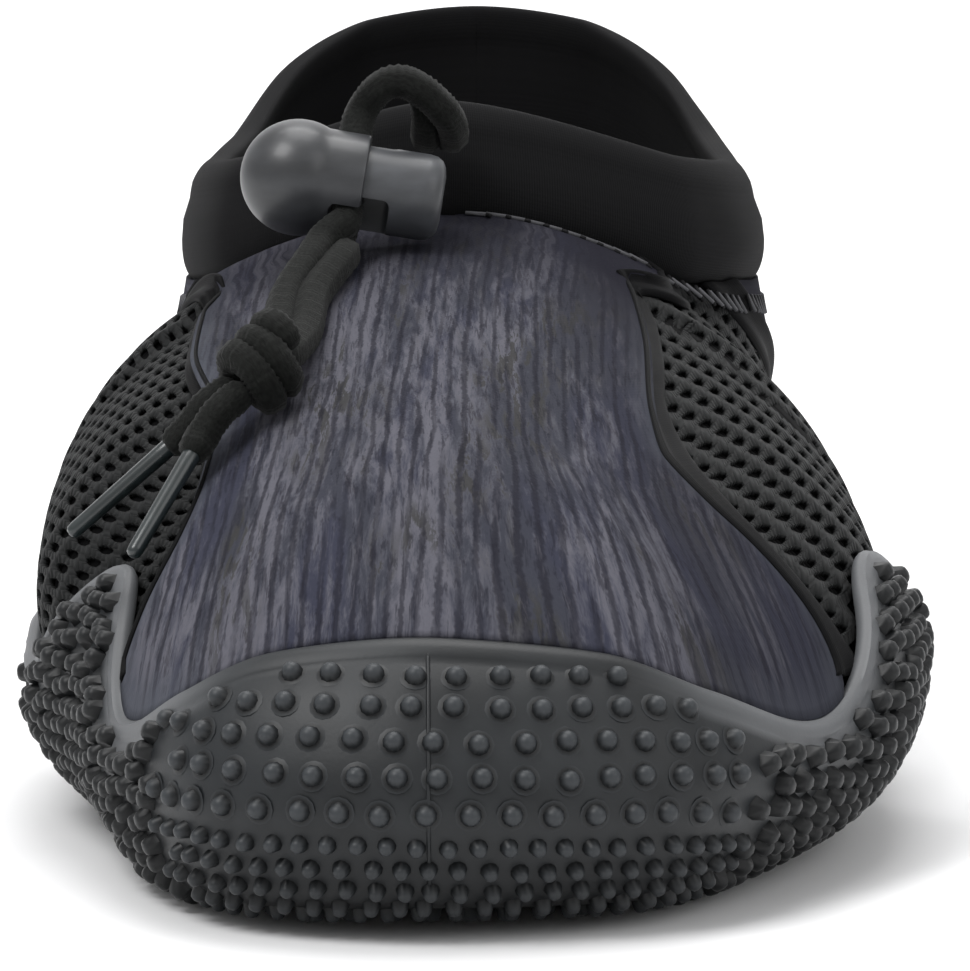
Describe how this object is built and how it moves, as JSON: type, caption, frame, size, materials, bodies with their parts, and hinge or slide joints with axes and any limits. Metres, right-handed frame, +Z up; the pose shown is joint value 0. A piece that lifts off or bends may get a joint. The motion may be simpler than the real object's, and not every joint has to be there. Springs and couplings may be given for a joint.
{
  "type": "water shoe",
  "caption": "Left water shoe with a hollow mesh upper, printed vamp, padded collar, drawcord with a sprung cord lock, and a rubber sole that wraps up round the foot.",
  "frame": {"origin": "on the floor, under the middle of the outsole's length and width", "axes": "+Z up from the floor, -Y towards the toe, -X towards the medial (big-toe) side"},
  "size_m": [0.1016, 0.2677, 0.0896],
  "materials": {
    "rubber": "matt moulded rubber with fine nubs",
    "mesh": "open stretch mesh over a dark lining",
    "print": "printed stretch cloth, streaked grey",
    "collar_knit": "smooth padded stretch cloth",
    "foam": "cloth-topped foam foot bed",
    "cord": "braided elastic cord",
    "lock_plastic": "smooth moulded plastic",
    "tip_plastic": "glossy moulded plastic"
  },
  "bodies": {
    "shoe": {"outsole": "rubber", "insole": "foam", "upper": "mesh", "vamp_panel": "print", "heel_panel": "print", "collar": "collar_knit", "lock_body": "lock_plastic", "cord_front": "cord", "cord_back": "cord", "cord_knot": "cord", "cord_tail_front": "cord", "cord_tail_back": "cord", "cord_tip_front": "tip_plastic", "cord_tip_back": "tip_plastic"},
    "button": {"lock_button": "lock_plastic"}
  },
  "joints": [
    {"name": "lock_press", "type": "slide", "parent": "shoe", "child": "button", "axis": [-0.9877, 0, 0.1564], "range_m": [0, 0.003], "stiffness_N_per_m": 600, "springref_m": -0.002}
  ]
}
